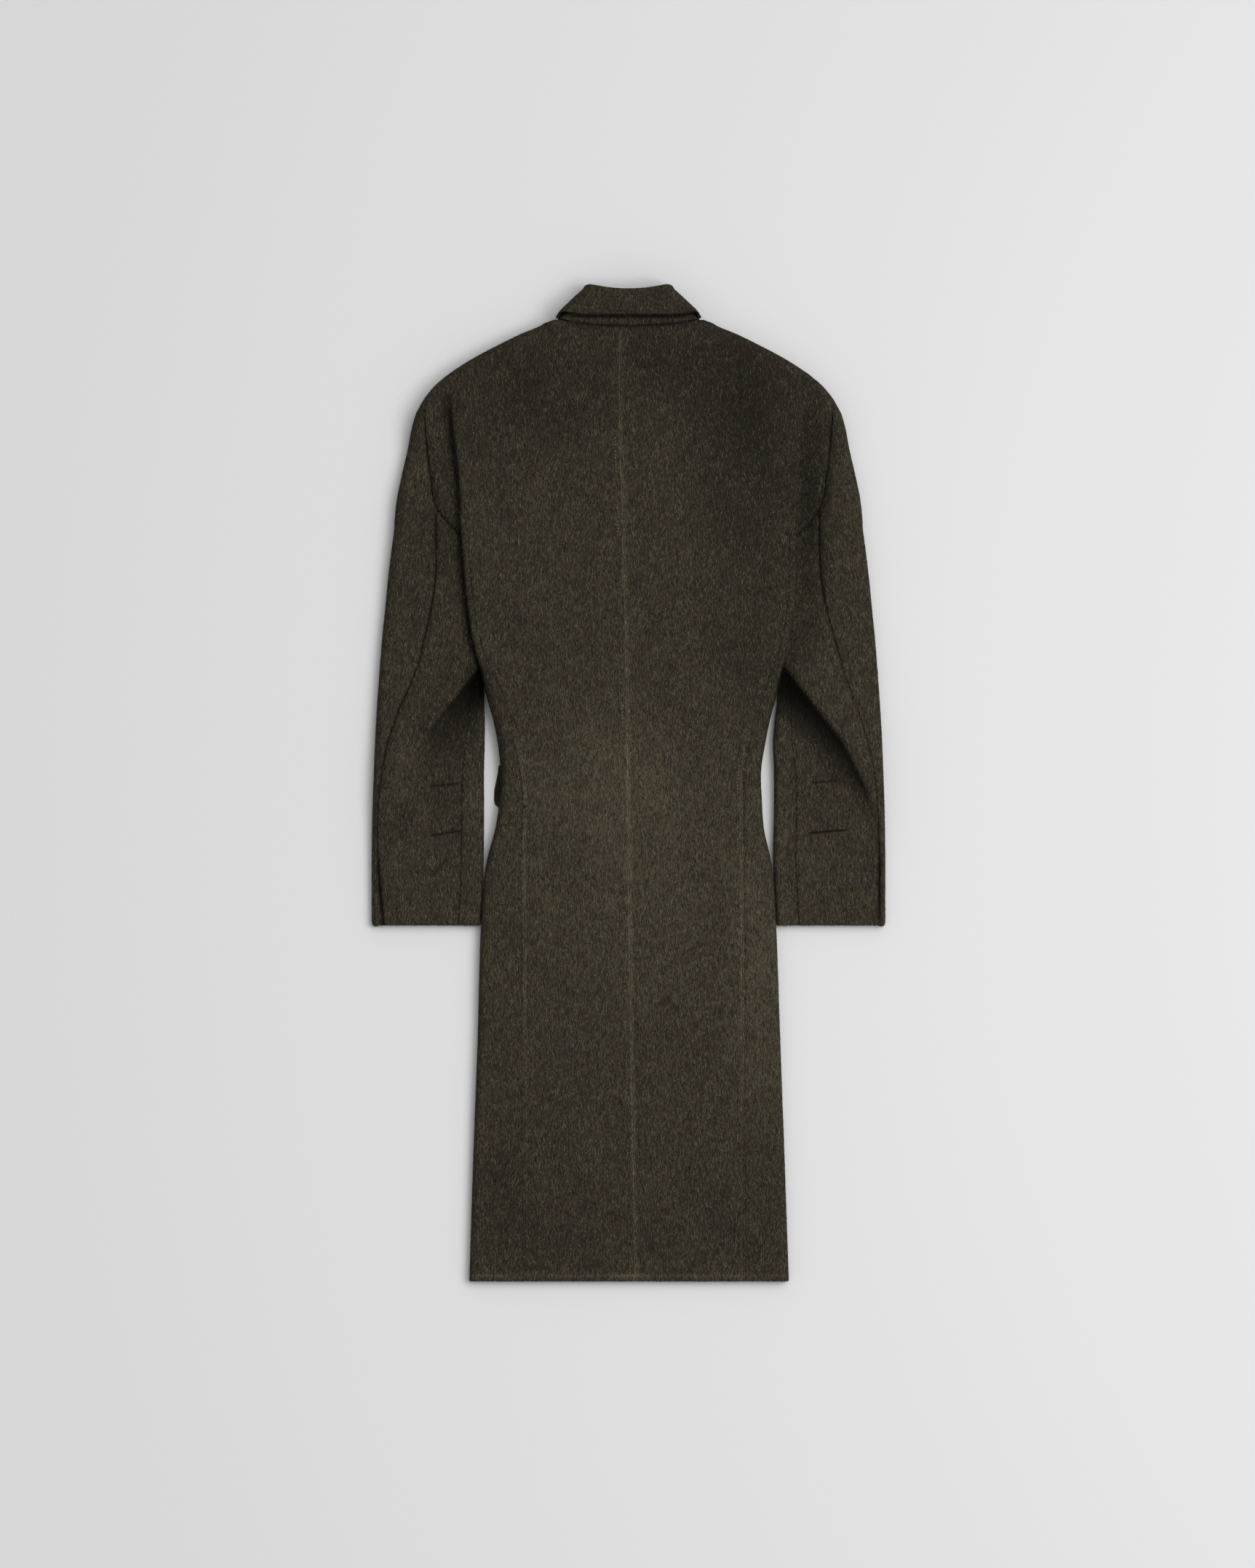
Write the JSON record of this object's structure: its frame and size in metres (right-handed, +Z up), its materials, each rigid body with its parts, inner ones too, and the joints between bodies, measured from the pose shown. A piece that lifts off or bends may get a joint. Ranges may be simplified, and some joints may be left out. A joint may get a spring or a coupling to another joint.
{
  "type": "wool coat",
  "caption": "Long brushed wool coat in dark olive brown, laid flat with its back up, with two-piece sleeves and a turned-down collar.",
  "frame": {"origin": "middle of the coat's outline, on the surface it lies on", "axes": "+Y along the coat's length towards the collar, +X across it to the right of its back, +Z up from the surface"},
  "size_m": [0.5998, 1.1653, 0.0326],
  "materials": {
    "wool": "brushed, matte, with a soft nap"
  },
  "bodies": {
    "root": {"back_left": "wool", "back_right": "wool", "side_left": "wool", "side_right": "wool", "front_left": "wool", "front_right": "wool", "top_sleeve_left": "wool", "top_sleeve_right": "wool", "under_sleeve_left": "wool", "under_sleeve_right": "wool", "collar_stand": "wool", "collar_fall": "wool", "pocket_flap_left": "wool"}
  },
  "joints": []
}
